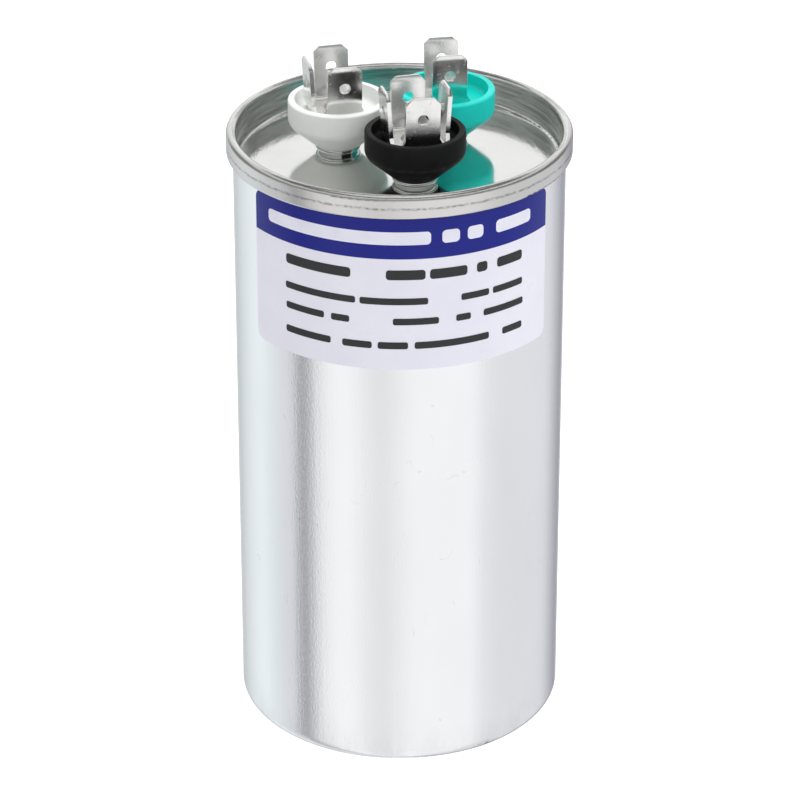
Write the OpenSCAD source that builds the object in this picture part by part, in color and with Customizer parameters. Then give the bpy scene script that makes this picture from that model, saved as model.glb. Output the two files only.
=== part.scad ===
// Dual motor run capacitor in a round seamed can. Three insulating cups stand on the
// recessed lid, and each carries a crown of quick-connect blades. The wound sections,
// their leads and their insulation are modelled inside the can.
// Origin: centre of the base. +Z is up, and the label faces -Y.

/* [Can] */
// Outside diameter of the can
can_d = 60; // [56:1:75]
// Height from the base to the top of the seam
can_h = 115.5; // [96:0.5:140]
// Thickness of the drawn sheet
can_wall = 0.4; // [0.3:0.05:0.6]
// Radius of the corner round the base
can_corner_r = 2.5; // [1.5:0.5:5]

/* [Lid and seam] */
// Thickness of the lid sheet
lid_t = 0.3; // [0.2:0.05:0.5]
// Depth of the lid's flat below the top of the seam
lid_recess = 5.8; // [4:0.2:9]
// Radius where the lid's flat turns up into its wall
lid_fillet_r = 0.8; // [0.4:0.1:2]
// Height of the double seam
seam_h = 4.4; // [3.4:0.1:6]
// Play between the folded layers of the seam
seam_play = 0.06; // [0.04:0.01:0.1]
// Height of the collar drawn up round each terminal hole
collar_h = 1.55; // [1.2:0.05:2.5]
// Thickness of the collar's wall
collar_wall = 0.45; // [0.3:0.05:0.6]
// Radius of the bead that is rolled round the collar
collar_bead_r = 0.5; // [0.3:0.05:0.6]

/* [Label] */
// Thickness of the printed film
label_t = 0.15; // [0.1:0.05:0.3]
// Part of the can's girth that the label covers, in degrees
label_span = 116; // [60:2:180]
// Turn of the label's middle about the can's axis, in degrees
label_turn = 1; // [-10:1:10]
// Height of the label
label_h = 29.1; // [15:0.1:60]
// Radius of the label's corners
label_corner_r = 2; // [0.5:0.5:5]

/* [Terminals] */
// Gap between neighbouring cups
cup_gap = 1.92; // [0.8:0.02:6]
// Turn of the lid and its terminals about the can's axis, in degrees
lid_turn = 14; // [0:1:119]
// Outside diameter of an insulating cup
cup_d = 18; // [16:0.2:22]
// Height of a cup from its foot to its rim
cup_h = 8.45; // [7:0.05:11]
// Thickness of the cup's wall at the rim
cup_wall = 1.2; // [0.8:0.1:1.5]
// Depth of the cup
cup_depth = 2.5; // [1.5:0.1:4]
// Slope of the cup's flank above level, in degrees
cup_flank = 41; // [35:1:48]
// Radius between the cup's flank and its side
cup_shoulder_r = 2; // [0.5:0.1:2.5]
// Radius of the cup's foot where it stands on the collar
cup_foot_r = 4.45; // [4.2:0.05:5]
// Radius of the cup's stem inside the collar
cup_stem_r = 3.2; // [2.6:0.1:3.4]

/* [Quick-connect blades] */
// Width of a blade
blade_w = 6.3; // [4.8:0.1:6.4]
// Thickness of the blade sheet
blade_t = 0.8; // [0.5:0.05:0.8]
// Height of the blade tips above the cup's rim
blade_rise = 8; // [6.5:0.1:12]
// Diameter of the detent hole
blade_hole_d = 2; // [1.4:0.1:2.2]
// Distance from the tip to the centre of the detent hole
blade_hole_drop = 4; // [3:0.1:5]
// Chamfer at the tip's corners
blade_chamfer = 1.1; // [0.4:0.1:1.6]
// Height of the coined lead-in at the tip
tip_lead = 0.9; // [0.4:0.1:1.5]
// Depth of the lead-in on each face of the sheet
tip_coin = 0.18; // [0.05:0.01:0.2]
// Gap between a blade's outer corner and the cup's wall, at the holes
crown_gap = 1.24; // [0.4:0.02:1.6]
// Outward lean of each blade, in degrees
blade_lean = 4; // [0:1:8]
// Inside radius of the bend at a blade's root
blade_bend_r = 0.5; // [0.3:0.1:1]
// Widening of a blade at its root, on each side
root_flare = 0.75; // [0:0.05:0.9]
// Height over which a blade narrows above its root
root_taper = 1.3; // [0.6:0.1:2]
// How far the blades of the two-blade crown stand in from the others' span
pair_inset = 1.15; // [0:0.05:1.4]

/* [Terminal fixings] */
// Diameter of the rivet shank
rivet_d = 3; // [2:0.1:3.6]
// Diameter of the rivet heads
rivet_head_d = 5.2; // [4.4:0.1:6]
// Height of the rivet heads
rivet_head_h = 1.2; // [0.8:0.1:1.6]
// Diameter of the rubber gasket and of the washer under it
gasket_d = 10.4; // [8:0.2:14]
// Thickness of the gasket
gasket_t = 1.5; // [1:0.1:2.5]
// Thickness of the insulating washer
washer_t = 1; // [0.6:0.1:2]
// Thickness of the solder lug
lug_t = 0.6; // [0.4:0.1:1]
// Diameter of the lug's ring
lug_d = 6.8; // [6:0.2:8]
// Distance from the rivet to the lug's wire hole
lug_reach = 6.1; // [5.4:0.1:7]
// Width of the lug's tail
lug_w = 3.6; // [3:0.1:5]

/* [Leads] */
// Diameter of an insulated lead
lead_d = 1.8; // [1.2:0.1:2.2]
// Radius of a bend in a lead, at its middle
lead_bend_r = 2.2; // [1.6:0.1:2.6]
// Diameter of a solder joint
solder_d = 4; // [2.8:0.1:4.4]
// Height of a solder joint
solder_h = 0.8; // [0.5:0.1:1.2]
// Height of the main lead's level run above the fan section
lead_rise = 2.5; // [1.2:0.1:2.6]

/* [Windings] */
// Play round the main section, inside the pad's lip
main_play = 0.2; // [0.1:0.1:4]
// Diameter of the fan section
fan_d = 28; // [24:0.2:36]
// Length of the wound film in the fan section
fan_len = 24; // [10:1:30]
// Gap between the fan section's upper face and the lid's flat
head_room = 9.2; // [8.8:0.2:14]
// Outside diameter of the tubes that the film is wound on
core_d = 10; // [8:0.5:12]
// Wall of the core tubes
core_wall = 1; // [0.6:0.1:1.4]
// Thickness of the sprayed zinc on each end face
spray_t = 0.5; // [0.3:0.1:1]

/* [Insulation] */
// Thickness of the base pad's floor
pad_t = 2.1; // [1.6:0.1:4]
// Height of the pad's lip round the main section
pad_lip_h = 3.5; // [2:0.5:8]
// Thickness of the deck between the sections
deck_t = 2; // [1.5:0.1:4]
// Height of the deck's collar round the fan section
deck_collar_h = 5; // [2:0.5:10]
// Wall of the liner, the spacer, the pad's lip and the deck's collar
shell_t = 0.8; // [0.5:0.1:1]
// Play between the liner and the can
liner_play = 0.3; // [0.1:0.1:1]
// Play between the other pieces that nest in each other
nest_play = 0.2; // [0.1:0.1:0.6]
// Gap between the liner's top edge and the lid
liner_top_gap = 1; // [0.4:0.1:3]
// Thickness of the copper strips that join the sprayed ends
strip_t = 0.4; // [0.2:0.05:0.6]
// Width of the copper strips
strip_w = 5; // [3:0.5:6]
// Length of the base strip beyond the core on each side
strip_reach = 5; // [3:0.5:10]
// Width of the ring round the core that the deck leaves open for the link
link_room = 4.5; // [3.5:0.1:6]

/* [Hidden] */
$fn = 96;

// Clearance between a round piece and what it fits in
fit_play = 0.05;
// How far a cutter reaches past what it cuts
over = 1;
blade_tint = [0.82, 0.82, 0.80];
plastic_tint = [0.93, 0.93, 0.90];
film_tint = [0.86, 0.84, 0.74];
zinc_tint = [0.62, 0.63, 0.64];
copper_tint = [0.72, 0.45, 0.30];
can_r = can_d / 2;
can_in_r = can_r - can_wall;

// Double seam, counted outward from the can's wall: slot, can flange, lid skin
hook_slot = lid_t + 2 * seam_play;
seam_r = can_r + hook_slot + can_wall + seam_play + lid_t;
lid_in_r = can_in_r - seam_play - lid_t;
seam_mid_r = (seam_r + lid_in_r) / 2;
seam_top_r = (seam_r - lid_in_r) / 2;
seam_top_z = can_h - seam_top_r;
seam_foot_mid_r = (seam_r + can_r + seam_play) / 2;
seam_foot_r = (seam_r - can_r - seam_play) / 2;
seam_foot_z = can_h - seam_h + seam_foot_r;
hook_end_gap = 0.3;
lid_z = can_h - lid_recess;
label_top_gap = 0.2;
label_top_z = can_h - seam_h - label_top_gap;

// Terminals: pitch circle, angles about the axis, then the angles of each crown's blades
terminal_pitch_r = (cup_d + cup_gap) / (2 * sin(60));
black_angle = lid_turn - 90;
green_angle = lid_turn + 30;
white_angle = lid_turn + 150;
black_blades = [-90, 90, 0, 180];
white_blades = [-90, 90, 180];
green_blades = [-94, 86];
// Each lug's tail, turned from the way that points out from the axis
black_lug_turn = 0;
green_lug_turn = 135;
white_lug_turn = 180;

// Heights of a terminal's pieces above the lid's flat
cup_r = cup_d / 2;
mouth_r = cup_r - cup_wall;
cup_rim_z = collar_h + cup_h;
cup_floor_z = cup_rim_z - cup_depth;
cup_rim_round = cup_wall / 3;
cup_floor_round = 0.8;
collar_bore_r = cup_stem_r + fit_play;
collar_r = collar_bore_r + collar_wall;
bead_sink = 0.1;
bead_mid_z = collar_h / 2 + bead_sink;
rivet_r = rivet_d / 2;
rivet_hole_r = rivet_r + fit_play;
gasket_z = -lid_t - gasket_t;
washer_z = gasket_z - washer_t;
lug_z = washer_z - lug_t;
crown_floor_z = cup_floor_z + blade_t;

// Crown: its span at the holes, each bend's radii and centre, each blade's length
crown_reach = sqrt(pow(mouth_r - crown_gap, 2) - pow(blade_w / 2, 2));
bend_out_r = blade_bend_r + blade_t;
bend_mid_r = blade_bend_r + blade_t / 2;
bend_z = cup_floor_z + bend_out_r;
blade_start_z = bend_z - bend_mid_r * sin(blade_lean);
blade_len = (cup_rim_z + blade_rise - blade_start_z) / cos(blade_lean);
hole_up = blade_len - blade_hole_drop;
bend_x = crown_reach - bend_out_r * cos(blade_lean) - hole_up * sin(blade_lean);
// Half a root's width, kept clear of the next blade's, and the pair's inset, clear of the rivet
root_relief = 0.15;
root_half = max(blade_w / 2, min(blade_w / 2 + root_flare, bend_x - root_relief));
pair_in = max(0, min(pair_inset, bend_x - rivet_head_d / 2 - fit_play));

// Windings and insulation, stacked up from the can's floor and out to its wall
core_r = core_d / 2;
winding_bore_r = core_r + fit_play;
liner_r = can_in_r - liner_play;
liner_in_r = liner_r - shell_t;
deck_r = liner_in_r - nest_play;
pad_foot_r = can_r - can_corner_r - liner_play;
pad_step_z = can_wall + pad_t - shell_t;
main_r = deck_r - shell_t - main_play;
main_z = can_wall + pad_t;
fan_top_z = lid_z - head_room;
deck_top_z = fan_top_z - fan_len - 2 * spray_t;
deck_z = deck_top_z - deck_t;
main_len = deck_z - main_z - 2 * spray_t;
deck_hole_r = core_r + link_room;
deck_collar_r = fan_d / 2 + nest_play;
link_gap = 0.3;
link_end_gap = 0.9;
link_in = winding_bore_r + link_gap;
link_out = deck_hole_r - link_end_gap;
strip_len = 2 * (core_r + strip_reach);
strip_play = 0.1;

// Leads: the common one passes outside the deck's collar, the main one bends in to the axis
lead_r = lead_d / 2;
lead_hole_r = lead_r + fit_play;
solder_r = solder_d / 2;
solder_play = 0.3;
common_lead_r = deck_collar_r + shell_t + 2 * solder_play + solder_r;
black_lug_reach = max(lug_reach, common_lead_r - terminal_pitch_r);
main_lead_r = terminal_pitch_r - lug_reach;
lead_jog_z = fan_top_z + lead_rise;

// Quarter of a ring, from start to start + 90 degrees
module arc_band(centre, r_out, r_in, start) {
    translate(centre) intersection() {
        difference() {
            circle(r_out);
            circle(r_in);
        }
        rotate(start) square(r_out + over);
    }
}

module tube(r_out, r_in, h) {
    difference() {
        cylinder(r = r_out, h = h);
        translate([0, 0, -over]) cylinder(r = r_in, h = h + 2 * over);
    }
}

// Puts its children on a terminal's axis, with Z measured from the lid's flat
module at_terminal(angle) {
    rotate(angle) translate([terminal_pitch_r, 0, lid_z]) rotate(lid_turn - angle) children();
}

// Puts its children on a terminal's axis, with X along the lug's tail
module at_lug(angle, turn) {
    rotate(angle) translate([terminal_pitch_r, 0, lid_z]) rotate(turn) children();
}

// Drawn can: base, corner, wall and the flange that the seam folds over
module can_profile() {
    square([can_r - can_corner_r, can_wall]);
    arc_band([can_r - can_corner_r, can_corner_r], can_corner_r, can_corner_r - can_wall, -90);
    translate([can_in_r, can_corner_r]) square([can_wall, seam_top_z - can_corner_r]);
    for (start = [0, 90])
        arc_band([seam_mid_r, seam_top_z], hook_slot / 2 + can_wall, hook_slot / 2, start);
    flange_z = seam_foot_z + seam_play;
    translate([can_r + hook_slot, flange_z]) square([can_wall, seam_top_z - flange_z]);
}

module can() {
    color([0.80, 0.81, 0.83]) rotate_extrude() can_profile();
}

// Lid sheet: flat, fillet, wall, over the seam's top, down the skin and up as a hook
module lid_profile() {
    translate([0, lid_z - lid_t]) square([lid_in_r - lid_fillet_r, lid_t]);
    arc_band([lid_in_r - lid_fillet_r, lid_z + lid_fillet_r], lid_fillet_r + lid_t, lid_fillet_r, -90);
    wall_z = lid_z + lid_fillet_r;
    translate([lid_in_r, wall_z]) square([lid_t, seam_top_z - wall_z]);
    for (start = [0, 90])
        arc_band([seam_mid_r, seam_top_z], seam_top_r, seam_top_r - lid_t, start);
    translate([seam_r - lid_t, seam_foot_z]) square([lid_t, seam_top_z - seam_foot_z]);
    for (start = [180, 270])
        arc_band([seam_foot_mid_r, seam_foot_z], seam_foot_r, seam_foot_r - lid_t, start);
    hook_h = seam_top_z - hook_end_gap - seam_foot_z;
    translate([can_r + seam_play, seam_foot_z]) square([lid_t, hook_h]);
}

// Collar round a terminal hole, with a bead rolled round its middle
module collar() {
    rotate_extrude() {
        translate([collar_bore_r, -lid_t]) square([collar_r - collar_bore_r, lid_t + collar_h]);
        intersection() {
            translate([collar_r - bead_sink, bead_mid_z]) circle(collar_bead_r);
            translate([collar_bore_r, 0]) square([collar_r, collar_h]);
        }
    }
}

module lid() {
    color([0.86, 0.86, 0.84]) {
        difference() {
            rotate_extrude() lid_profile();
            for (angle = [black_angle, white_angle, green_angle])
                at_terminal(angle) translate([0, 0, -lid_t - over])
                    cylinder(r = collar_bore_r, h = lid_t + 2 * over);
        }
        for (angle = [black_angle, white_angle, green_angle])
            at_terminal(angle) collar();
    }
}

// Cuts one corner of the label round, looking along the can's radius. The cut's circle is
// a little larger than the corner, so that it crosses the label's edges and isn't tangent.
module label_corner(side, z, up) {
    inset = label_corner_r / can_r * 180 / PI;
    cut_r = 1.04 * label_corner_r;
    cut_w = 2 * label_corner_r;
    rotate(label_turn - 90 + side * (label_span / 2 - inset))
        translate([can_r - over, 0, z - up * label_corner_r]) difference() {
            translate([0, min(0, side * cut_w), min(0, up * cut_w)])
                cube([label_t + 2 * over, cut_w, cut_w]);
            rotate([0, 90, 0]) translate([0, 0, -over]) cylinder(r = cut_r, h = label_t + 4 * over);
        }
}

module label() {
    color([0.87, 0.88, 0.96]) difference() {
        translate([0, 0, label_top_z - label_h])
            rotate([0, 0, label_turn - 90 - label_span / 2])
                rotate_extrude(angle = label_span)
                    translate([can_r, 0]) square([label_t, label_h]);
        for (side = [-1, 1]) {
            label_corner(side, label_top_z, 1);
            label_corner(side, label_top_z - label_h, -1);
        }
    }
}

// Half section of a cup. The shoulder's circle touches both the flank and the side.
module cup_profile() {
    shoulder_x = cup_r - cup_shoulder_r;
    shoulder_rise = (sin(cup_flank) * (shoulder_x - cup_foot_r) + cup_shoulder_r) / cos(cup_flank);
    shoulder_z = collar_h + shoulder_rise;
    difference() {
        union() {
            translate([0, -lid_t]) square([cup_stem_r, lid_t + collar_h]);
            polygon([[0, collar_h], [cup_foot_r, collar_h],
                [shoulder_x + cup_shoulder_r * sin(cup_flank),
                    shoulder_z - cup_shoulder_r * cos(cup_flank)],
                [shoulder_x, shoulder_z], [0, shoulder_z]]);
            translate([shoulder_x, shoulder_z]) circle(cup_shoulder_r);
            translate([0, shoulder_z]) square([cup_r, cup_rim_z - cup_rim_round - shoulder_z]);
            translate([0, shoulder_z]) square([cup_r - cup_rim_round, cup_rim_z - shoulder_z]);
            translate([cup_r - cup_rim_round, cup_rim_z - cup_rim_round]) circle(cup_rim_round);
        }
        translate([0, cup_floor_z + cup_floor_round])
            square([mouth_r, cup_depth + over]);
        translate([0, cup_floor_z]) square([mouth_r - cup_floor_round, cup_depth]);
        translate([mouth_r - cup_floor_round, cup_floor_z + cup_floor_round])
            circle(cup_floor_round);
        translate([0, -lid_t - over]) square([rivet_hole_r, lid_t + cup_rim_z + over]);
    }
}

module insulator(angle) {
    at_terminal(angle) rotate_extrude() cup_profile();
}

module black_insulator() {
    color([0.07, 0.07, 0.08]) insulator(black_angle);
}

module white_insulator() {
    color([0.92, 0.93, 0.90]) insulator(white_angle);
}

module green_insulator() {
    color([0.15, 0.75, 0.69]) insulator(green_angle);
}

// Wedge that coins the lead-in on one face of a blade's tip
module lead_in() {
    rotate([90, 0, 0]) translate([0, 0, -blade_w / 2 - over]) linear_extrude(blade_w + 2 * over)
        polygon([[0, blade_len - tip_lead], [tip_coin, blade_len], [tip_coin, blade_len + over],
            [-over, blade_len + over], [-over, blade_len - tip_lead]]);
}

// One arm of a crown: level root, bend and leaning blade with its detent hole
module blade(inset) {
    fold_x = bend_x - inset;
    rotate([90, 0, 0]) translate([0, 0, -root_half]) linear_extrude(2 * root_half) {
        translate([0, cup_floor_z]) square([fold_x, blade_t]);
        intersection() {
            translate([fold_x, bend_z]) difference() {
                circle(bend_out_r);
                circle(blade_bend_r);
            }
            translate([fold_x, bend_z]) rotate(-90) square(bend_out_r + over);
            translate([fold_x, bend_z]) rotate(-90 - blade_lean) square(bend_out_r + over);
        }
    }
    translate([fold_x, 0, bend_z]) rotate([0, blade_lean, 0])
        translate([blade_bend_r, 0, 0]) difference() {
            rotate([90, 0, 90]) linear_extrude(blade_t) difference() {
                polygon([[-root_half, 0], [root_half, 0],
                    [blade_w / 2, root_taper],
                    [blade_w / 2, blade_len - blade_chamfer],
                    [blade_w / 2 - blade_chamfer, blade_len],
                    [blade_chamfer - blade_w / 2, blade_len],
                    [-blade_w / 2, blade_len - blade_chamfer],
                    [-blade_w / 2, root_taper]]);
                translate([0, hole_up]) circle(d = blade_hole_d);
            }
            lead_in();
            translate([blade_t, 0, 0]) mirror([1, 0, 0]) lead_in();
        }
}

// Crown stamped from one sheet, with one upright blade for each angle
module crown(angle, blades, inset = 0) {
    at_terminal(angle) difference() {
        for (turn = blades) rotate(turn) blade(inset);
        translate([0, 0, cup_floor_z - over]) cylinder(r = rivet_hole_r, h = blade_t + 2 * over);
    }
}

module black_crown() {
    color(blade_tint) crown(black_angle, black_blades);
}

module white_crown() {
    color(blade_tint) crown(white_angle, white_blades);
}

module green_crown() {
    color(blade_tint) crown(green_angle, green_blades, pair_in);
}

// Rivet from the crown down to the lug: domed head, shank and upset foot
module rivet() {
    dome_r = (rivet_head_d * rivet_head_d / 4 + rivet_head_h * rivet_head_h) / (2 * rivet_head_h);
    rotate_extrude() {
        translate([0, lug_z - rivet_head_h]) square([rivet_head_d / 2, rivet_head_h]);
        translate([0, lug_z]) square([rivet_r, crown_floor_z - lug_z]);
        intersection() {
            translate([0, crown_floor_z + rivet_head_h - dome_r]) circle(dome_r);
            translate([0, crown_floor_z]) square([rivet_head_d, rivet_head_h]);
        }
    }
}

module terminal_rivets() {
    color([0.75, 0.75, 0.73])
        for (angle = [black_angle, white_angle, green_angle]) at_terminal(angle) rivet();
}

module gasket(angle) {
    color([0.12, 0.12, 0.12]) at_terminal(angle)
        translate([0, 0, gasket_z]) tube(gasket_d / 2, rivet_hole_r, gasket_t);
}

module black_gasket() gasket(black_angle);

module white_gasket() gasket(white_angle);

module green_gasket() gasket(green_angle);

module washer(angle) {
    color([0.55, 0.38, 0.22]) at_terminal(angle)
        translate([0, 0, washer_z]) tube(gasket_d / 2, rivet_hole_r, washer_t);
}

module black_washer() washer(black_angle);

module white_washer() washer(white_angle);

module green_washer() washer(green_angle);

// Flat lug: a ring on the rivet and a tail with a hole for the lead
module lug(angle, turn, reach) {
    color([0.80, 0.74, 0.52]) at_lug(angle, turn)
        translate([0, 0, lug_z]) linear_extrude(lug_t) difference() {
            union() {
                circle(d = lug_d);
                translate([0, -lug_w / 2]) square([reach, lug_w]);
                translate([reach, 0]) circle(d = lug_w);
            }
            circle(rivet_hole_r);
            translate([reach, 0]) circle(lead_hole_r);
        }
}

module black_lug() lug(black_angle, black_lug_turn, black_lug_reach);

module white_lug() lug(white_angle, white_lug_turn, lug_reach);

module green_lug() lug(green_angle, green_lug_turn, lug_reach);

// Straight lead from a lug down to the level bottom_z
module straight_lead(angle, turn, reach, bottom_z) {
    lead_len = lid_z + lug_z + lug_t - bottom_z;
    at_lug(angle, turn) translate([reach, 0, bottom_z - lid_z])
        cylinder(r = lead_r, h = lead_len);
}

// Common lead: from the black terminal to the main section's upper face
module common_lead() {
    color([0.10, 0.10, 0.11])
        straight_lead(black_angle, black_lug_turn, black_lug_reach, deck_z);
}

// Fan lead: from the green terminal to the fan section's upper face
module fan_lead() {
    color([0.10, 0.55, 0.42])
        straight_lead(green_angle, green_lug_turn, lug_reach, fan_top_z);
}

// Quarter bend in the XZ plane, from +X round to +Z
module lead_bend() {
    rotate([90, 0, 0]) rotate_extrude(angle = 90) translate([lead_bend_r, 0]) circle(lead_r);
}

// Main lead: from the white terminal in to the axis, then down through both cores
module main_lead() {
    top_z = lid_z + lug_z + lug_t;
    color([0.90, 0.90, 0.88]) rotate(white_angle) {
        translate([main_lead_r, 0, lead_jog_z + lead_bend_r])
            cylinder(r = lead_r, h = top_z - lead_jog_z - lead_bend_r);
        translate([main_lead_r - lead_bend_r, 0, lead_jog_z + lead_bend_r])
            mirror([0, 0, 1]) lead_bend();
        translate([lead_bend_r, 0, lead_jog_z]) rotate([0, 90, 0])
            cylinder(r = lead_r, h = main_lead_r - 2 * lead_bend_r);
        translate([lead_bend_r, 0, lead_jog_z - lead_bend_r]) mirror([1, 0, 0]) lead_bend();
        translate([0, 0, main_z]) cylinder(r = lead_r, h = lead_jog_z - lead_bend_r - main_z);
    }
}

// Rings of solder round the leads, under each lug and on each end spray or strip
module solder_joints() {
    color([0.70, 0.71, 0.72]) {
        for (joint = [[black_angle, black_lug_turn, black_lug_reach],
                [white_angle, white_lug_turn, lug_reach],
                [green_angle, green_lug_turn, lug_reach]])
            at_lug(joint[0], joint[1]) translate([joint[2], 0, lug_z - solder_h])
                tube(lug_w / 2, lead_hole_r, solder_h);
        at_lug(black_angle, black_lug_turn) translate([black_lug_reach, 0, deck_z - lid_z])
            tube(solder_r, lead_hole_r, solder_h);
        at_lug(green_angle, green_lug_turn) translate([lug_reach, 0, fan_top_z - lid_z])
            tube(solder_r, lead_hole_r, solder_h);
        translate([0, 0, main_z]) tube(solder_r, lead_hole_r, solder_h);
    }
}

// Roll of metallised film between two sprayed end faces
module main_winding() {
    color(film_tint) translate([0, 0, main_z + spray_t]) tube(main_r, winding_bore_r, main_len);
}

module fan_winding() {
    color(film_tint) translate([0, 0, deck_top_z + spray_t])
        tube(fan_d / 2, winding_bore_r, fan_len);
}

module end_sprays(r, z, len) {
    color(zinc_tint) for (face_z = [z, z + spray_t + len])
        translate([0, 0, face_z]) tube(r, winding_bore_r, spray_t);
}

module main_end_sprays() end_sprays(main_r, main_z, main_len);

module fan_end_sprays() end_sprays(fan_d / 2, deck_top_z, fan_len);

// Tube that a section is wound on, as long as the film and both sprayed faces
module core(z, len) {
    color([0.80, 0.80, 0.78]) translate([0, 0, z])
        tube(core_r, core_r - core_wall, len + 2 * spray_t);
}

module main_core() core(main_z, main_len);

module fan_core() core(deck_top_z, fan_len);

// Folded strip in the deck's hole that joins the two facing end sprays
module common_link() {
    color(copper_tint) translate([0, strip_w / 2, deck_z]) rotate([90, 0, 0])
        linear_extrude(strip_w) difference() {
            translate([link_in, 0]) square([link_out - link_in, deck_t]);
            translate([link_in - over, strip_t])
                square([link_out - strip_t - link_in + over, deck_t - 2 * strip_t]);
        }
}

// Strip let into the base pad, where the main lead meets the lower end spray
module base_strip() {
    color(copper_tint) translate([-strip_len / 2, -strip_w / 2, main_z - strip_t])
        cube([strip_len, strip_w, strip_t]);
}

// Pad on the can's floor: coned foot, flange under the liner, lip round the main section
module base_pad() {
    color(plastic_tint) difference() {
        union() {
            translate([0, 0, can_wall])
                cylinder(r1 = pad_foot_r, r2 = liner_r - liner_play, h = pad_t - shell_t);
            translate([0, 0, pad_step_z]) cylinder(r = liner_r, h = shell_t);
            translate([0, 0, main_z]) tube(deck_r, deck_r - shell_t, pad_lip_h);
        }
        translate([-strip_len / 2 - strip_play, -strip_w / 2 - strip_play, main_z - strip_t])
            cube([strip_len + 2 * strip_play, strip_w + 2 * strip_play, strip_t + over]);
    }
}

// Deck between the sections, with a collar for the fan section and a hole for a joint
module deck() {
    color(plastic_tint) difference() {
        union() {
            translate([0, 0, deck_z]) cylinder(r = deck_r, h = deck_t);
            translate([0, 0, deck_top_z])
                tube(deck_collar_r + shell_t, deck_collar_r, deck_collar_h);
        }
        translate([0, 0, deck_z - over]) cylinder(r = deck_hole_r, h = deck_t + 2 * over);
        at_lug(black_angle, black_lug_turn)
            translate([black_lug_reach, 0, deck_z - lid_z - over])
                cylinder(r = solder_r + solder_play, h = deck_t + 2 * over);
    }
}

// Plastic sleeve between the windings and the can
module liner() {
    liner_top_z = lid_z - lid_t - liner_top_gap;
    color([0.90, 0.88, 0.80]) translate([0, 0, main_z])
        tube(liner_r, liner_in_r, liner_top_z - main_z);
}

// Spacer that stands on the deck and reaches up to the lid
module top_spacer() {
    color(plastic_tint) translate([0, 0, deck_top_z])
        tube(deck_r, deck_r - shell_t, lid_z - lid_t - deck_top_z);
}

can();
lid();
label();
black_insulator();
white_insulator();
green_insulator();
black_crown();
white_crown();
green_crown();
terminal_rivets();
black_gasket();
white_gasket();
green_gasket();
black_washer();
white_washer();
green_washer();
black_lug();
white_lug();
green_lug();
common_lead();
main_lead();
fan_lead();
solder_joints();
main_winding();
main_core();
main_end_sprays();
fan_winding();
fan_core();
fan_end_sprays();
common_link();
base_strip();
base_pad();
deck();
liner();
top_spacer();
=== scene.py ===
import math

import bmesh
import bpy
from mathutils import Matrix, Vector


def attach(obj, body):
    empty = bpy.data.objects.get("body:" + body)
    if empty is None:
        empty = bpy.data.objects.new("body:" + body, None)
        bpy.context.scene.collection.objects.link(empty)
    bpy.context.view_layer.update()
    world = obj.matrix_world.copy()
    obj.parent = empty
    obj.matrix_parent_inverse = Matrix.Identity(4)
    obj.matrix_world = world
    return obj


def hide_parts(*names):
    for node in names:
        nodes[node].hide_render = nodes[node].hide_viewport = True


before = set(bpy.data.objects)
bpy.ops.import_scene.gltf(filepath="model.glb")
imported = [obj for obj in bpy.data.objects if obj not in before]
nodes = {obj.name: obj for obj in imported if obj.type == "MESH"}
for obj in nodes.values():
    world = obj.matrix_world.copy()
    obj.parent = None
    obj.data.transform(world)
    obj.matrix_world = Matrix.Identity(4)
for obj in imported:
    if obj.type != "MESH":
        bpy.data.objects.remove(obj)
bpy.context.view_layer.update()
mm = 0.001
print("frame loaded with", len(nodes), "nodes")


# helpers for node trees: a socket given as a value is linked, anything else is set on the node

def put(tree, kind, sockets=None, **settings):
    made = tree.nodes.new(kind)
    for key, value in settings.items():
        setattr(made, key, value)
    for key, value in (sockets or {}).items():
        if isinstance(value, bpy.types.NodeSocket):
            tree.links.new(value, made.inputs[key])
        else:
            made.inputs[key].default_value = value
    return made


def newTree(name):
    material = bpy.data.materials.new(name)
    material.use_nodes = True
    material.node_tree.nodes.clear()
    return material, material.node_tree


def finishTree(tree, shader):
    put(tree, "ShaderNodeOutputMaterial", {"Surface": shader.outputs[0]})


def ownPlace(tree):  # a point's place on the object
    return put(tree, "ShaderNodeTexCoord").outputs["Object"]


def noise(tree, where, kind):
    return put(tree, "ShaderNodeTexNoise", {"Vector": where, "Scale": kind["scale"],
               "Detail": kind["detail"], "Roughness": kind["rough"]}).outputs["Fac"]


def pattern(tree, kind):  # noise on the object's own place, stretched, turned or shifted as it says
    where = put(tree, "ShaderNodeMapping", {"Vector": ownPlace(tree),
                "Scale": kind.get("stretch", (1, 1, 1)),
                "Rotation": (0, 0, math.radians(kind.get("turn", 0))),
                "Location": kind.get("shift", (0, 0, 0))}).outputs[0]
    return noise(tree, where, kind)


def remap(tree, value, low, high, newLow=0.0, newHigh=1.0):
    return put(tree, "ShaderNodeMapRange", {"Value": value, "From Min": low, "From Max": high,
               "To Min": newLow, "To Max": newHigh}, clamp=True).outputs[0]


def fade(tree, value, reach):  # 1 at zero, nothing from the reach on
    return remap(tree, value, 0, reach, 1, 0)


def maths(tree, work, first, second=0.0, third=0.0):
    return put(tree, "ShaderNodeMath", {0: first, 1: second, 2: third}, operation=work).outputs[0]


def product(tree, first, second):
    return maths(tree, "MULTIPLY", first, second)


def apart(tree, first, second):  # how far two values are apart
    return maths(tree, "ABSOLUTE", maths(tree, "SUBTRACT", first, second))


def vectorMaths(tree, work, first, second=None):
    sockets = {0: first} if second is None else {0: first, 1: second}
    return put(tree, "ShaderNodeVectorMath", sockets, operation=work)


def mixed(tree, amount, first, second):
    return put(tree, "ShaderNodeMix", {"Factor": amount, "A": first, "B": second},
               data_type="FLOAT").outputs[0]


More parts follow.
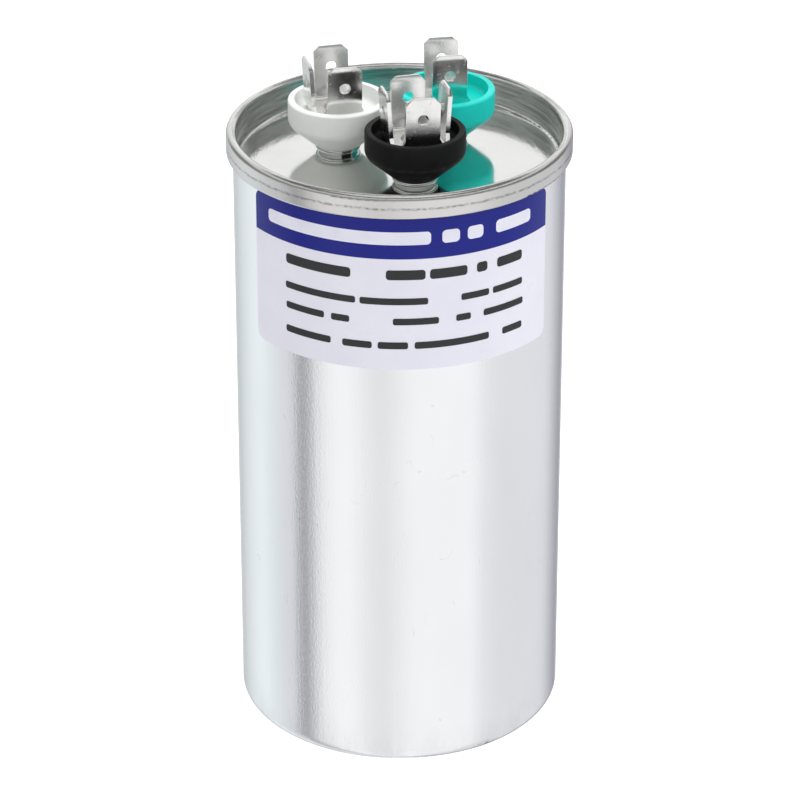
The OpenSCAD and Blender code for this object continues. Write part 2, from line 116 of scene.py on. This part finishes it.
def blendColour(tree, amount, first, second):
    made = put(tree, "ShaderNodeMix", {"Factor": amount}, data_type="RGBA")
    for socket, value in (("A_Color", first), ("B_Color", second)):
        target = next(s for s in made.inputs if s.identifier == socket)
        if isinstance(value, bpy.types.NodeSocket):
            tree.links.new(value, target)
        else:
            target.default_value = (*value, 1)
    return next(s for s in made.outputs if s.identifier == "Result_Color")


def bump(tree, height, depth, under=None):
    sockets = {"Height": height, "Distance": depth, "Strength": 1.0}
    if under is not None:
        sockets["Normal"] = under
    return put(tree, "ShaderNodeBump", sockets).outputs[0]


def heightOf(tree):
    return put(tree, "ShaderNodeSeparateXYZ", {0: ownPlace(tree)}).outputs[2]


def metalSurface(tree, colour, rough, normal):
    finishTree(tree, put(tree, "ShaderNodeBsdfPrincipled", {"Base Color": colour, "Metallic": 1.0,
               "Roughness": rough, "Normal": normal}))


def mattSurface(tree, colour, rough, specular, normal):
    finishTree(tree, put(tree, "ShaderNodeBsdfPrincipled", {"Base Color": colour,
               "Roughness": rough, "Specular IOR Level": specular, "Normal": normal}))


# the can: drawn lines up the side, fine grain, short scratches, a dull haze and a rub at the foot

canLook = {"light": (0.93, 0.935, 0.95), "dull": (0.87, 0.877, 0.895),
           "clouds": dict(scale=38, detail=4, rough=0.6, stretch=(1, 1, 0.5)),
           "cloudSpan": (0.3, 0.75), "roughSpan": (0.3, 0.8), "rough": 0.08, "roughMore": 0.05,
           "streaks": dict(scale=1100, detail=5, rough=0.62, stretch=(1, 1, 0.01)),
           "streakSpan": (0.35, 0.7), "streakRough": 0.04, "streakDepth": 0.012 * mm,
           "swell": dict(scale=90, detail=3, rough=0.5, stretch=(1, 1, 0.16)), "swellShare": 2.0,
           "grain": dict(scale=2600, detail=3, rough=0.65, stretch=(1, 1, 0.55)),
           "grainDepth": 0.026 * mm,
           "scratches": dict(scale=420, detail=1, rough=0.4, stretch=(1, 1, 0.7)),
           "scratchWidth": 0.012, "scratchShade": 0.16,
           "scratchPlaces": dict(scale=360, detail=1, rough=0.4, shift=(0.3, 0, 0)),
           "scratchSpan": (0.66, 0.69),
           "haze": (0.60, 0.60, 0.62), "hazeTop": 11 * mm, "hazeMost": 0.5, "hazeRough": 0.2,
           "hazePlaces": dict(scale=160, detail=6, rough=0.7, stretch=(1, 1, 0.45)),
           "hazeSpan": (0.38, 0.68),
           "rub": (0.10, 0.09, 0.09), "rubAt": (16.0 * mm, -24.6 * mm, 0.9 * mm),
           "rubReach": 3.4 * mm, "rubShape": (1, 1, 2.6),
           "rubPlaces": dict(scale=700, detail=4, rough=0.7, stretch=(1, 1, 2)),
           "rubSpan": (0.46, 0.6)}


def canMetal():
    material, tree = newTree("drawnAluminium")
    look = canLook
    streaks = pattern(tree, look["streaks"])
    clouds = pattern(tree, look["clouds"])
    # the thin contours of a noise at its middle value, kept in a few places only
    contour = apart(tree, pattern(tree, look["scratches"]), 0.5)
    scratch = product(tree, fade(tree, contour, look["scratchWidth"]),
                      remap(tree, pattern(tree, look["scratchPlaces"]), *look["scratchSpan"]))
    foot = fade(tree, heightOf(tree), look["hazeTop"])
    haze = product(tree, product(tree, foot, foot),
                   remap(tree, pattern(tree, look["hazePlaces"]), *look["hazeSpan"]))
    away = vectorMaths(tree, "SUBTRACT", ownPlace(tree), look["rubAt"]).outputs[0]
    away = vectorMaths(tree, "MULTIPLY", away, look["rubShape"]).outputs[0]
    away = vectorMaths(tree, "LENGTH", away).outputs["Value"]
    rub = product(tree, fade(tree, away, look["rubReach"]),
                  remap(tree, pattern(tree, look["rubPlaces"]), *look["rubSpan"]))
    colour = blendColour(tree, remap(tree, clouds, *look["cloudSpan"]), look["light"], look["dull"])
    colour = blendColour(tree, product(tree, haze, look["hazeMost"]), colour, look["haze"])
    colour = blendColour(tree, rub, colour, look["rub"])
    colour = blendColour(tree, product(tree, scratch, look["scratchShade"]), colour, look["rub"])
    rough = maths(tree, "MULTIPLY_ADD", remap(tree, clouds, *look["roughSpan"]),
                  look["roughMore"], look["rough"])
    rough = maths(tree, "MULTIPLY_ADD", remap(tree, streaks, *look["streakSpan"]),
                  look["streakRough"], rough)
    rough = maths(tree, "MULTIPLY_ADD", haze, look["hazeRough"], rough)
    height = maths(tree, "MULTIPLY_ADD", pattern(tree, look["swell"]), look["swellShare"], streaks)
    normal = bump(tree, height, look["streakDepth"])
    normal = bump(tree, pattern(tree, look["grain"]), look["grainDepth"], normal)
    metalSurface(tree, colour, rough, normal)
    return material


# the lid: a bright flat that ripples near its wall, a lined wall with painted shade in its lines, a
# duller seam with a painted dark reflection line

lidLook = {"light": (0.88, 0.88, 0.87), "dull": (0.80, 0.80, 0.78),
           "clouds": dict(scale=60, detail=4, rough=0.6),
           "cloudSpan": (0.35, 0.75), "roughSpan": (0.35, 0.8), "rough": 0.07, "roughMore": 0.09,
           "wallFrom": 28.7 * mm, "wallBlur": 0.2 * mm, "wallRough": 0.26,
           "worked": (0.70, 0.69, 0.675), "workedFrom": 30.4 * mm, "workedBlur": 0.3 * mm,
           "workedRough": 0.24,
           "rub": (0.10, 0.10, 0.10), "paintedReflectionZ": 113.15 * mm, "rubReach": 0.36 * mm, "paintedReflectionMost": 0.75,
           "paintedReflectionWaver": 0.5 * mm,
           "paintedReflectionWave": dict(scale=240, detail=3, rough=0.6, stretch=(1, 1, 0.2)),
           "rubPlaces": dict(scale=1100, detail=4, rough=0.7, stretch=(1, 1, 2)),
           "rubSpan": (0.36, 0.6),
           "lineAlong": 3, "lineAcross": 2000, "lineDepth": 0.014 * mm,
           "lines": dict(scale=1.0, detail=4, rough=0.65), "lineSpan": (0.42, 0.62),
           "linePaintedShade": 0.5, "wallShadeColour": (0.20, 0.21, 0.20),
           "rippleAlong": 7, "rippleAcross": 1000, "ripples": dict(scale=1.0, detail=4, rough=0.6),
           "rippleFrom": 20 * mm, "rippleTo": 26 * mm, "rippleDepth": 0.05 * mm,
           "waves": dict(scale=190, detail=2, rough=0.5, stretch=(1, 0.35, 1), turn=20),
           "waveDepth": 0.004 * mm, "gainFrom": 19 * mm, "gainTo": 28 * mm, "gain": 5,
           "dents": dict(scale=1000, detail=3, rough=0.6), "dentDepth": 0.004 * mm,
           "rolled": dict(scale=900, detail=5, rough=0.6, stretch=(0.05, 1, 1), turn=-30),
           "rolledDepth": 0.0022 * mm,
           "grain": dict(scale=7000, detail=2, rough=0.6), "grainDepth": 0.0008 * mm}


def lidMetal():
    material, tree = newTree("brightTinplate")
    look = lidLook
    clouds = pattern(tree, look["clouds"])
    flatPlace = vectorMaths(tree, "MULTIPLY", ownPlace(tree), (1, 1, 0)).outputs[0]
    radius = vectorMaths(tree, "LENGTH", flatPlace).outputs["Value"]
    wall = remap(tree, radius, look["wallFrom"] - look["wallBlur"],
                 look["wallFrom"] + look["wallBlur"])
    worked = remap(tree, radius, look["workedFrom"] - look["workedBlur"],
                   look["workedFrom"] + look["workedBlur"])
    # a broken dark line that wavers round the seam's skin, a painted reflection
    waver = maths(tree, "SUBTRACT", pattern(tree, look["paintedReflectionWave"]), 0.5)
    rubAt = maths(tree, "MULTIPLY_ADD", waver, look["paintedReflectionWaver"], look["paintedReflectionZ"])
    rub = product(tree, fade(tree, apart(tree, heightOf(tree), rubAt), look["rubReach"]),
                  remap(tree, pattern(tree, look["rubPlaces"]), *look["rubSpan"]))
    rub = product(tree, product(tree, rub, worked), look["paintedReflectionMost"])
    # lines and ripples run round the axis
    axes = put(tree, "ShaderNodeSeparateXYZ", {0: ownPlace(tree)})
    turn = maths(tree, "ARCTAN2", axes.outputs[0], axes.outputs[1])
    rounds = put(tree, "ShaderNodeCombineXYZ", {0: product(tree, turn, look["lineAlong"]),
                 1: product(tree, axes.outputs[2], look["lineAcross"]),
                 2: product(tree, radius, look["lineAcross"])}).outputs[0]
    lines = noise(tree, rounds, look["lines"])
    # the wall's drawn lines are real; the darkening they put into the wall's colour is painted
    # shade of the recess
    wallPaintedShade = product(tree, remap(tree, lines, *look["lineSpan"]),
                    maths(tree, "SUBTRACT", wall, worked))
    rings = put(tree, "ShaderNodeCombineXYZ", {0: product(tree, turn, look["rippleAlong"]),
                1: product(tree, radius, look["rippleAcross"])}).outputs[0]
    ripple = product(tree, noise(tree, rings, look["ripples"]),
                     remap(tree, radius, look["rippleFrom"], look["rippleTo"]))
    gain = remap(tree, radius, look["gainFrom"], look["gainTo"], 1, look["gain"])
    colour = blendColour(tree, remap(tree, clouds, *look["cloudSpan"]), look["light"], look["dull"])
    colour = blendColour(tree, worked, colour, look["worked"])
    # the seam's dark line is a painted reflection blended into the colour
    colour = blendColour(tree, rub, colour, look["rub"])
    colour = blendColour(tree, product(tree, wallPaintedShade, look["linePaintedShade"]), colour, look["wallShadeColour"])
    rough = maths(tree, "MULTIPLY_ADD", remap(tree, clouds, *look["roughSpan"]),
                  look["roughMore"], look["rough"])
    rough = mixed(tree, wall, rough, look["wallRough"])
    rough = mixed(tree, worked, rough, look["workedRough"])
    normal = bump(tree, product(tree, pattern(tree, look["waves"]), gain), look["waveDepth"])
    dents = product(tree, pattern(tree, look["dents"]), wall)
    normal = bump(tree, dents, look["dentDepth"], normal)
    normal = bump(tree, product(tree, lines, wall), look["lineDepth"], normal)
    normal = bump(tree, ripple, look["rippleDepth"], normal)
    normal = bump(tree, pattern(tree, look["rolled"]), look["rolledDepth"], normal)
    normal = bump(tree, pattern(tree, look["grain"]), look["grainDepth"], normal)
    metalSurface(tree, colour, rough, normal)
    return material


# other metals share one make: clouds of tone, fine grain and a few rougher specks

metalLooks = {
    "tinned": dict(name="tinnedSheet", light=(0.93, 0.925, 0.915), dull=(0.85, 0.845, 0.835),
                   rough=0.15, roughMore=0.09, grainScale=3400, grainDepth=0.005 * mm),
    "rivet": dict(name="rivetSteel", light=(0.70, 0.70, 0.69), dull=(0.60, 0.60, 0.58),
                  rough=0.28, roughMore=0.12, grainScale=3000, grainDepth=0.004 * mm),
    "brass": dict(name="lugBrass", light=(0.78, 0.70, 0.45), dull=(0.66, 0.58, 0.36),
                  rough=0.3, roughMore=0.15, grainScale=2600, grainDepth=0.004 * mm),
    "solder": dict(name="dullSolder", light=(0.60, 0.61, 0.62), dull=(0.48, 0.49, 0.50),
                   rough=0.4, roughMore=0.2, grainScale=1200, grainDepth=0.01 * mm),
    "zinc": dict(name="sprayedZinc", light=(0.42, 0.43, 0.44), dull=(0.30, 0.31, 0.32),
                 rough=0.6, roughMore=0.25, grainScale=1500, grainDepth=0.04 * mm),
    "copper": dict(name="copperStrip", light=(0.80, 0.45, 0.30), dull=(0.62, 0.32, 0.20),
                   rough=0.28, roughMore=0.15, grainScale=2400, grainDepth=0.004 * mm)}
metalWear = {"clouds": dict(scale=320, detail=4, rough=0.6), "cloudSpan": (0.35, 0.75),
             "roughSpan": (0.3, 0.8), "grainDetail": 3, "grainRough": 0.65,
             "speckShare": 0.35, "speckDetail": 2, "speckRough": 0.5, "speckSpan": (0.62, 0.72),
             "speckMore": 0.12}


def plainMetal(name, light, dull, rough, roughMore, grainScale, grainDepth):
    material, tree = newTree(name)
    wear = metalWear
    clouds = pattern(tree, wear["clouds"])
    grain = pattern(tree, dict(scale=grainScale, detail=wear["grainDetail"],
                               rough=wear["grainRough"]))
    specks = pattern(tree, dict(scale=grainScale * wear["speckShare"], detail=wear["speckDetail"],
                                rough=wear["speckRough"]))
    colour = blendColour(tree, remap(tree, clouds, *wear["cloudSpan"]), light, dull)
    roughness = maths(tree, "MULTIPLY_ADD", remap(tree, clouds, *wear["roughSpan"]),
                      roughMore, rough)
    roughness = maths(tree, "MULTIPLY_ADD", remap(tree, specks, *wear["speckSpan"]),
                      wear["speckMore"], roughness)
    metalSurface(tree, colour, roughness, bump(tree, grain, grainDepth))
    return material


# mouldings, rubber, board, film, wire and ink share one make; the scuff at one height is a worn
# line with a painted highlight along the rounded edge

mattLooks = {
    "black": dict(name="blackMoulding", light=(0.0055, 0.0055, 0.006), dull=(0.008, 0.008, 0.0085),
                  rough=0.46, grainScale=3200, grainDepth=0.012 * mm, specular=0.2,
                  scuffAndHighlight={"z": 115.25 * mm, "spread": 0.5 * mm, "amount": 0.35,
                         "colour": (0.13, 0.13, 0.135), "span": (0.5, 0.68),
                         "places": dict(scale=900, detail=5, rough=0.75, stretch=(1, 1, 2.5))}),
    "white": dict(name="whiteMoulding", light=(0.85, 0.865, 0.84), dull=(0.81, 0.825, 0.80),
                  rough=0.34, grainScale=2600, grainDepth=0.003 * mm),
    "green": dict(name="greenMoulding", light=(0.004, 0.64, 0.565), dull=(0.003, 0.58, 0.505),
                  rough=0.34, grainScale=2600, grainDepth=0.003 * mm, specular=0.35),
    "rubber": dict(name="gasketRubber", light=(0.02, 0.02, 0.02), dull=(0.03, 0.03, 0.03),
                   rough=0.6, grainScale=1800, grainDepth=0.01 * mm),
    "board": dict(name="laminateBoard", light=(0.33, 0.18, 0.08), dull=(0.24, 0.12, 0.05),
                  rough=0.55, grainScale=1400, grainDepth=0.01 * mm),
    "film": dict(name="woundFilm", light=(0.74, 0.70, 0.56), dull=(0.66, 0.62, 0.48),
                 rough=0.3, grainScale=900, grainDepth=0.006 * mm),
    "natural": dict(name="naturalPlastic", light=(0.80, 0.80, 0.74), dull=(0.74, 0.74, 0.68),
                    rough=0.45, grainScale=1600, grainDepth=0.004 * mm),
    "blackWire": dict(name="blackInsulation", light=(0.02, 0.02, 0.02), dull=(0.03, 0.03, 0.03),
                      rough=0.4, grainScale=1800, grainDepth=0.003 * mm),
    "whiteWire": dict(name="whiteInsulation", light=(0.78, 0.78, 0.76), dull=(0.70, 0.70, 0.68),
                      rough=0.4, grainScale=1800, grainDepth=0.003 * mm),
    "greenWire": dict(name="greenInsulation", light=(0.02, 0.33, 0.22), dull=(0.015, 0.26, 0.17),
                      rough=0.4, grainScale=1800, grainDepth=0.003 * mm),
    "darkInk": dict(name="darkInk", light=(0.010, 0.010, 0.012), dull=(0.016, 0.016, 0.018),
                    rough=0.35, grainScale=3000, grainDepth=0.001 * mm),
    "whiteInk": dict(name="whiteInk", light=(0.78, 0.78, 0.875), dull=(0.72, 0.72, 0.83),
                     rough=0.35, grainScale=3000, grainDepth=0.001 * mm)}
mattWear = {"clouds": dict(scale=220, detail=3, rough=0.55), "cloudSpan": (0.35, 0.7),
            "roughSpan": (0.3, 0.75), "roughMore": 0.1, "grainDetail": 3, "grainRough": 0.6}


def plastic(name, light, dull, rough, grainScale, grainDepth, specular=0.5, scuffAndHighlight=None):
    material, tree = newTree(name)
    wear = mattWear
    clouds = pattern(tree, wear["clouds"])
    grain = pattern(tree, dict(scale=grainScale, detail=wear["grainDetail"],
                               rough=wear["grainRough"]))
    colour = blendColour(tree, remap(tree, clouds, *wear["cloudSpan"]), light, dull)
    if scuffAndHighlight:
        # a lighter line at one height: a worn line and a painted highlight where the cup's edge
        # rounds
        level = fade(tree, apart(tree, heightOf(tree), scuffAndHighlight["z"]), scuffAndHighlight["spread"])
        scuffAndHighlightMask = product(tree, level, remap(tree, pattern(tree, scuffAndHighlight["places"]), *scuffAndHighlight["span"]))
        colour = blendColour(tree, product(tree, scuffAndHighlightMask, scuffAndHighlight["amount"]), colour, scuffAndHighlight["colour"])
    roughness = maths(tree, "MULTIPLY_ADD", remap(tree, clouds, *wear["roughSpan"]),
                      wear["roughMore"], rough)
    mattSurface(tree, colour, roughness, specular, bump(tree, grain, grainDepth))
    return material


# the label's film: a pale panel with a dark blue band above bandFoot

labelLook = {"panel": (0.78, 0.775, 0.865), "panelDull": (0.74, 0.735, 0.83),
             "band": (0.009, 0.014, 0.24), "bandDull": (0.006, 0.010, 0.19),
             "bandFoot": 103.2 * mm, "blur": 0.04 * mm,
             "clouds": dict(scale=120, detail=3, rough=0.5), "cloudSpan": (0.35, 0.75),
             "speckle": dict(scale=4200, detail=2, rough=0.6), "speckleSpan": (0.3, 0.7),
             "speckleDepth": 0.0012 * mm, "roughSpan": (0.3, 0.8), "roughMore": 0.08,
             "rough": 0.27, "specular": 0.25}


def labelFilm():
    material, tree = newTree("printedFilm")
    look = labelLook
    clouds = pattern(tree, look["clouds"])
    speckle = pattern(tree, look["speckle"])
    panel = blendColour(tree, remap(tree, clouds, *look["cloudSpan"]),
                        look["panel"], look["panelDull"])
    band = blendColour(tree, remap(tree, speckle, *look["speckleSpan"]),
                       look["band"], look["bandDull"])
    mask = remap(tree, heightOf(tree), look["bandFoot"] - look["blur"],
                 look["bandFoot"] + look["blur"])
    roughness = maths(tree, "MULTIPLY_ADD", remap(tree, clouds, *look["roughSpan"]),
                      look["roughMore"], look["rough"])
    mattSurface(tree, blendColour(tree, mask, panel, band), roughness, look["specular"],
                bump(tree, speckle, look["speckleDepth"]))
    return material


looks = {"can": canMetal(), "lid": lidMetal(), "label": labelFilm()}
for name, look in metalLooks.items():
    looks[name] = plainMetal(**look)
for name, look in mattLooks.items():
    looks[name] = plastic(**look)

nodeLooks = {"can": "can", "lid": "lid", "label": "label", "terminal_rivets": "rivet",
             "common_lead": "blackWire", "main_lead": "whiteWire", "fan_lead": "greenWire",
             "solder_joints": "solder", "main_winding": "film", "fan_winding": "film",
             "main_core": "natural", "fan_core": "natural", "main_end_sprays": "zinc",
             "fan_end_sprays": "zinc", "common_link": "copper", "base_strip": "copper",
             "base_pad": "natural", "deck": "natural", "liner": "natural", "top_spacer": "natural"}
for tint in ("black", "white", "green"):
    nodeLooks[tint + "_insulator"] = tint
    nodeLooks[tint + "_crown"] = "tinned"
    nodeLooks[tint + "_gasket"] = "rubber"
    nodeLooks[tint + "_washer"] = "board"
    nodeLooks[tint + "_lug"] = "brass"
for name, piece in nodes.items():
    piece.data.materials.clear()
    piece.data.materials.append(looks[nodeLooks[name]])
print("materials on", len(nodes), "nodes")


# blades: the sheared edges of the sheet are slightly rounded

bladeEdge = {"width": 0.06 * mm, "segments": 2, "sharpest": 24, "flatness": 80,
             "mergeWithin": 0.002 * mm, "flatWithin": 0.6}


def roundedSheet(nodeName, name):
    mesh = bmesh.new()
    mesh.from_mesh(nodes[nodeName].data)
    bmesh.ops.remove_doubles(mesh, verts=mesh.verts, dist=bladeEdge["mergeWithin"])
    bmesh.ops.dissolve_limit(mesh, angle_limit=math.radians(bladeEdge["flatWithin"]),
                             verts=mesh.verts, edges=mesh.edges)
    data = bpy.data.meshes.new(name)
    mesh.to_mesh(data)
    mesh.free()
    for face in data.polygons:
        face.use_smooth = True
    piece = bpy.data.objects.new(name, data)
    bpy.context.scene.collection.objects.link(piece)
    edge = piece.modifiers.new("roundedEdge", "BEVEL")
    edge.width = bladeEdge["width"]
    edge.segments = bladeEdge["segments"]
    edge.limit_method = "ANGLE"
    edge.angle_limit = math.radians(bladeEdge["sharpest"])
    edge.harden_normals = False
    flat = piece.modifiers.new("flatFaces", "WEIGHTED_NORMAL")
    flat.weight = bladeEdge["flatness"]
    flat.keep_sharp = False
    data.materials.append(looks["tinned"])
    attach(piece, "root")
    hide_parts(nodeName)


for tint in ("black", "white", "green"):
    roundedSheet(tint + "_crown", tint + "_blades")
print("blades done")


# print on the label, as plain bars of ink that follow the can
# each row: foot and head height in mm, share of that height inked, spans in degrees from the front

labelR = max(vert.co.xy.length for vert in nodes["label"].data.vertices)
inkLook = {"lift": 0.03 * mm, "step": 1.0 * mm, "corner": 0.3, "cornerSteps": 5}
darkRows = [(98.75, 101.6, 0.66, [(-41.3, -16.5), (-4.5, 8.7), (10.2, 23.2), (26.7, 30.7),
                                  (34.6, 45.6)]),
            (93.9, 96.2, 0.56, [(-41.6, -14.9), (-13.4, 9.6), (21.1, 31.5), (33.0, 45.9)]),
            (90.0, 92.3, 0.56, [(-41.4, -26.1), (-23.5, -17.0), (-2.2, 13.3), (19.3, 24.6),
                                (29.4, 46.3)]),
            (85.3, 87.7, 0.56, [(-41.6, -23.7), (-19.5, -9.3), (-7.3, 2.9), (5.1, 31.6),
                                (37.1, 45.9)])]
whiteRows = [(105.1, 109.2, 0.6, [(-49.6, 10.5), (14.3, 20.4), (23.2, 29.0), (34.0, 49.6)])]


def inkPiece(name, rows, material):
    mesh = bmesh.new()
    radius = labelR + inkLook["lift"]
    for foot, head, share, spans in rows:
        middle = (foot + head) / 2 * mm
        half = (head - foot) / 2 * mm * share
        for start, end in spans:
            centre = math.radians(start + end) / 2 * radius
            reach = math.radians(end - start) / 2 * radius
            bar = bmesh.ops.create_grid(mesh, x_segments=max(2, round(2 * reach / inkLook["step"])),
                                        y_segments=1, size=1)["verts"]
            corners = [vert for vert in bar if abs(vert.co.x) > 0.99]  # the grid's ends are at 1
            for vert in bar:
                vert.co = Vector((centre + vert.co.x * reach, middle + vert.co.y * half, 0))
            bmesh.ops.bevel(mesh, geom=corners, offset=half * 2 * inkLook["corner"],
                            offset_type="OFFSET", segments=inkLook["cornerSteps"], profile=0.5,
                            affect="VERTICES", material=-1)
    for vert in mesh.verts:  # the flat bars are bent round the can's axis
        angle = vert.co.x / radius
        vert.co = Vector((radius * math.sin(angle), -radius * math.cos(angle), vert.co.y))
    bmesh.ops.recalc_face_normals(mesh, faces=mesh.faces)
    for face in mesh.faces:
        if face.normal.dot(face.calc_center_median()) < 0:
            face.normal_flip()
    data = bpy.data.meshes.new(name)
    mesh.to_mesh(data)
    mesh.free()
    piece = bpy.data.objects.new(name, data)
    bpy.context.scene.collection.objects.link(piece)
    data.materials.append(material)
    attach(piece, "root")


inkPiece("label_print_rows", darkRows, looks["darkInk"])
inkPiece("label_print_title", whiteRows, looks["whiteInk"])
print("label print done")


# camera

cameraLook = {"where": (0.0001, -0.6512, 0.3924), "tilt": 62.99, "lens": 177.32, "sensor": 36,
              "nearest": 0.01}
cameraData = bpy.data.cameras.new("camera")
cameraData.lens = cameraLook["lens"]
cameraData.sensor_width = cameraLook["sensor"]
cameraData.clip_start = cameraLook["nearest"]
camera = bpy.data.objects.new("camera", cameraData)
camera.location = cameraLook["where"]
camera.rotation_euler = (math.radians(cameraLook["tilt"]), 0, 0)
bpy.context.scene.collection.objects.link(camera)
bpy.context.scene.camera = camera
print("camera done")


# white floor: it glows only for rays that show the background, and keeps the shadow

floorLook = {"half": 3.0, "glow": 0.55, "colour": 0.8, "drop": 0.02 * mm}
floorMesh = bmesh.new()
bmesh.ops.create_grid(floorMesh, x_segments=1, y_segments=1, size=floorLook["half"])
floorData = bpy.data.meshes.new("floor")
floorMesh.to_mesh(floorData)
floorMesh.free()
floor = bpy.data.objects.new("floor", floorData)
floor.location.z = -floorLook["drop"]
bpy.context.scene.collection.objects.link(floor)
material, tree = newTree("whiteFloor")
rays = put(tree, "ShaderNodeLightPath")
seen = maths(tree, "MAXIMUM", rays.outputs["Is Camera Ray"],
             maths(tree, "MAXIMUM", rays.outputs["Is Glossy Ray"],
                   rays.outputs["Is Transmission Ray"]))
diffuse = put(tree, "ShaderNodeBsdfDiffuse", {"Color": (floorLook["colour"],) * 3 + (1,)})
glow = put(tree, "ShaderNodeEmission", {"Color": (1, 1, 1, 1),
           "Strength": product(tree, seen, floorLook["glow"])})
finishTree(tree, put(tree, "ShaderNodeAddShader", {0: diffuse.outputs[0], 1: glow.outputs[0]}))
floorData.materials.append(material)
floor.visible_glossy = False  # metals mirror the world's lower part in its place


# world: white behind the part, soft for matt surfaces, and a mirrored room for metals
# lists go by degrees round from the front, plus to the right; pairs are heights in degrees

worldLook = {"low": 0.82, "high": 0.91, "lean": 0.12,  # soft light, low down to overhead
             "ring": [(-180, 1.0), (-169, 0.76), (-160, 0.60), (-148, 0.73), (-124, 0.94),
                      (-112, 0.95), (-102, 0.85), (-90, 0.79), (-79, 0.76), (-76, 0.38),
                      (-71, 0.34), (-67, 0.56), (-58, 0.89), (-45, 1.0), (-36, 1.0),
                      (-22, 0.88), (-12, 0.83), (0, 0.92), (10, 1.0), (20, 1.0), (42, 1.0),
                      (54, 1.0), (62, 0.87), (76, 0.81), (112, 0.82), (128, 0.79), (142, 0.56),
                      (152, 0.43), (163, 0.39), (170, 0.92), (180, 1.0)],  # below level
             "tint": [(-180, (1, 1, 1)), (-162, (0.93, 0.985, 1)), (-100, (0.93, 0.985, 1)),
                      (-80, (0.95, 0.96, 1)), (-60, (0.99, 0.99, 1)), (20, (1, 1, 1)),
                      (80, (0.975, 0.985, 1)), (142, (0.95, 0.955, 1)), (162, (0.9, 0.9, 1)),
                      (180, (1, 1, 1))],
             "rise": (-4, 3),  # from the ring to the part above it, bright behind and dim elsewhere
             "upper": [(-180, 0.96), (-158, 0.96), (-138, 0.24), (-60, 0.3), (0, 0.34), (60, 0.26),
                       (138, 0.2), (158, 0.96), (180, 0.96)],
             "upperTint": [(-180, (1, 1, 1)), (-155, (1, 1, 1)), (-130, (0.94, 1, 0.97)),
                           (0, (0.88, 1, 0.95)), (130, (0.94, 1, 0.97)), (155, (1, 1, 1)),
                           (180, (1, 1, 1))],
             "top": 1.0, "topRise": (29, 32.5),  # a bright band all round, then dim, then overhead
             "dim": 0.12, "dimRise": (41, 47), "zenith": 0.92, "zenithRise": (62, 72),
             "bounce": 1.25}  # what matt surfaces get by way of a metal, lamps included


def ramp(tree, value, stops, low=-180, high=180):
    made = put(tree, "ShaderNodeValToRGB", {0: remap(tree, value, low, high)})
    band = made.color_ramp
    while len(band.elements) < len(stops):
        band.elements.new(0.5)
    for element, (at, level) in zip(band.elements, stops):
        element.position = (at - low) / (high - low)
        element.color = (*level, 1) if isinstance(level, tuple) else (level, level, level, 1)
    if isinstance(stops[0][1], tuple):
        return made.outputs[0]
    return put(tree, "ShaderNodeSeparateColor", {0: made.outputs[0]}).outputs[0]


world = bpy.data.worlds.new("studio")
bpy.context.scene.world = world
world.use_nodes = True
tree = world.node_tree
tree.nodes.clear()
degrees = 180 / math.pi
way = put(tree, "ShaderNodeTexCoord").outputs["Generated"]
parts = put(tree, "ShaderNodeSeparateXYZ", {0: way})
azimuth = maths(tree, "ARCTAN2", parts.outputs[0], product(tree, parts.outputs[1], -1.0))
azimuth = product(tree, azimuth, degrees)
elevation = product(tree, maths(tree, "ARCSINE", parts.outputs[2]), degrees)
rising = remap(tree, elevation, *worldLook["rise"])
topRising = remap(tree, elevation, *worldLook["topRise"])
mirrored = mixed(tree, rising, ramp(tree, azimuth, worldLook["ring"]),
                 ramp(tree, azimuth, worldLook["upper"]))
above = mixed(tree, remap(tree, elevation, *worldLook["dimRise"]), worldLook["top"],
              worldLook["dim"])
above = mixed(tree, remap(tree, elevation, *worldLook["zenithRise"]), above, worldLook["zenith"])
mirrored = mixed(tree, topRising, mirrored, above)
tint = blendColour(tree, rising, ramp(tree, azimuth, worldLook["tint"]),
                   ramp(tree, azimuth, worldLook["upperTint"]))
soft = remap(tree, parts.outputs[2], 0, 1, worldLook["low"], worldLook["high"])
soft = maths(tree, "MULTIPLY_ADD", parts.outputs[0], worldLook["lean"], soft)
rays = put(tree, "ShaderNodeLightPath")
bounced = maths(tree, "MINIMUM", rays.outputs["Diffuse Depth"], 1.0)
mirrored = mixed(tree, bounced, mirrored, worldLook["bounce"])
seen = maths(tree, "MAXIMUM", rays.outputs["Is Camera Ray"], rays.outputs["Is Transmission Ray"])
total = mixed(tree, seen, mixed(tree, rays.outputs["Is Glossy Ray"], soft, mirrored), 1.0)
tinted = product(tree, maths(tree, "SUBTRACT", 1.0, topRising), rays.outputs["Is Glossy Ray"])
sky = put(tree, "ShaderNodeBackground", {"Color": blendColour(tree, tinted, (1, 1, 1), tint),
          "Strength": total})
put(tree, "ShaderNodeOutputWorld", {"Surface": sky.outputs[0]})


# soft square lamps, all turned to one point on the part

lampLook = {"key": {"where": (0.45, -0.35, 0.75), "size": 0.45, "watts": 1.5},
            "fill": {"where": (-0.6, -0.3, 0.5), "size": 0.5, "watts": 0.15},
            "top": {"where": (0.0, 0.3, 0.85), "size": 0.6, "watts": 3.2}}
lampAim = Vector((0, 0, 0.08))
for name, lamp in lampLook.items():
    data = bpy.data.lights.new(name, "AREA")
    data.shape = "SQUARE"
    data.size = lamp["size"]
    data.energy = lamp["watts"]
    light = bpy.data.objects.new(name, data)
    light.location = lamp["where"]
    light.visible_glossy = False  # metals don't mirror the lamps
    light.rotation_euler = (lampAim - light.location).to_track_quat("-Z", "Y").to_euler()
    bpy.context.scene.collection.objects.link(light)
print("studio done")

bpy.context.scene.view_settings.view_transform = "Standard"
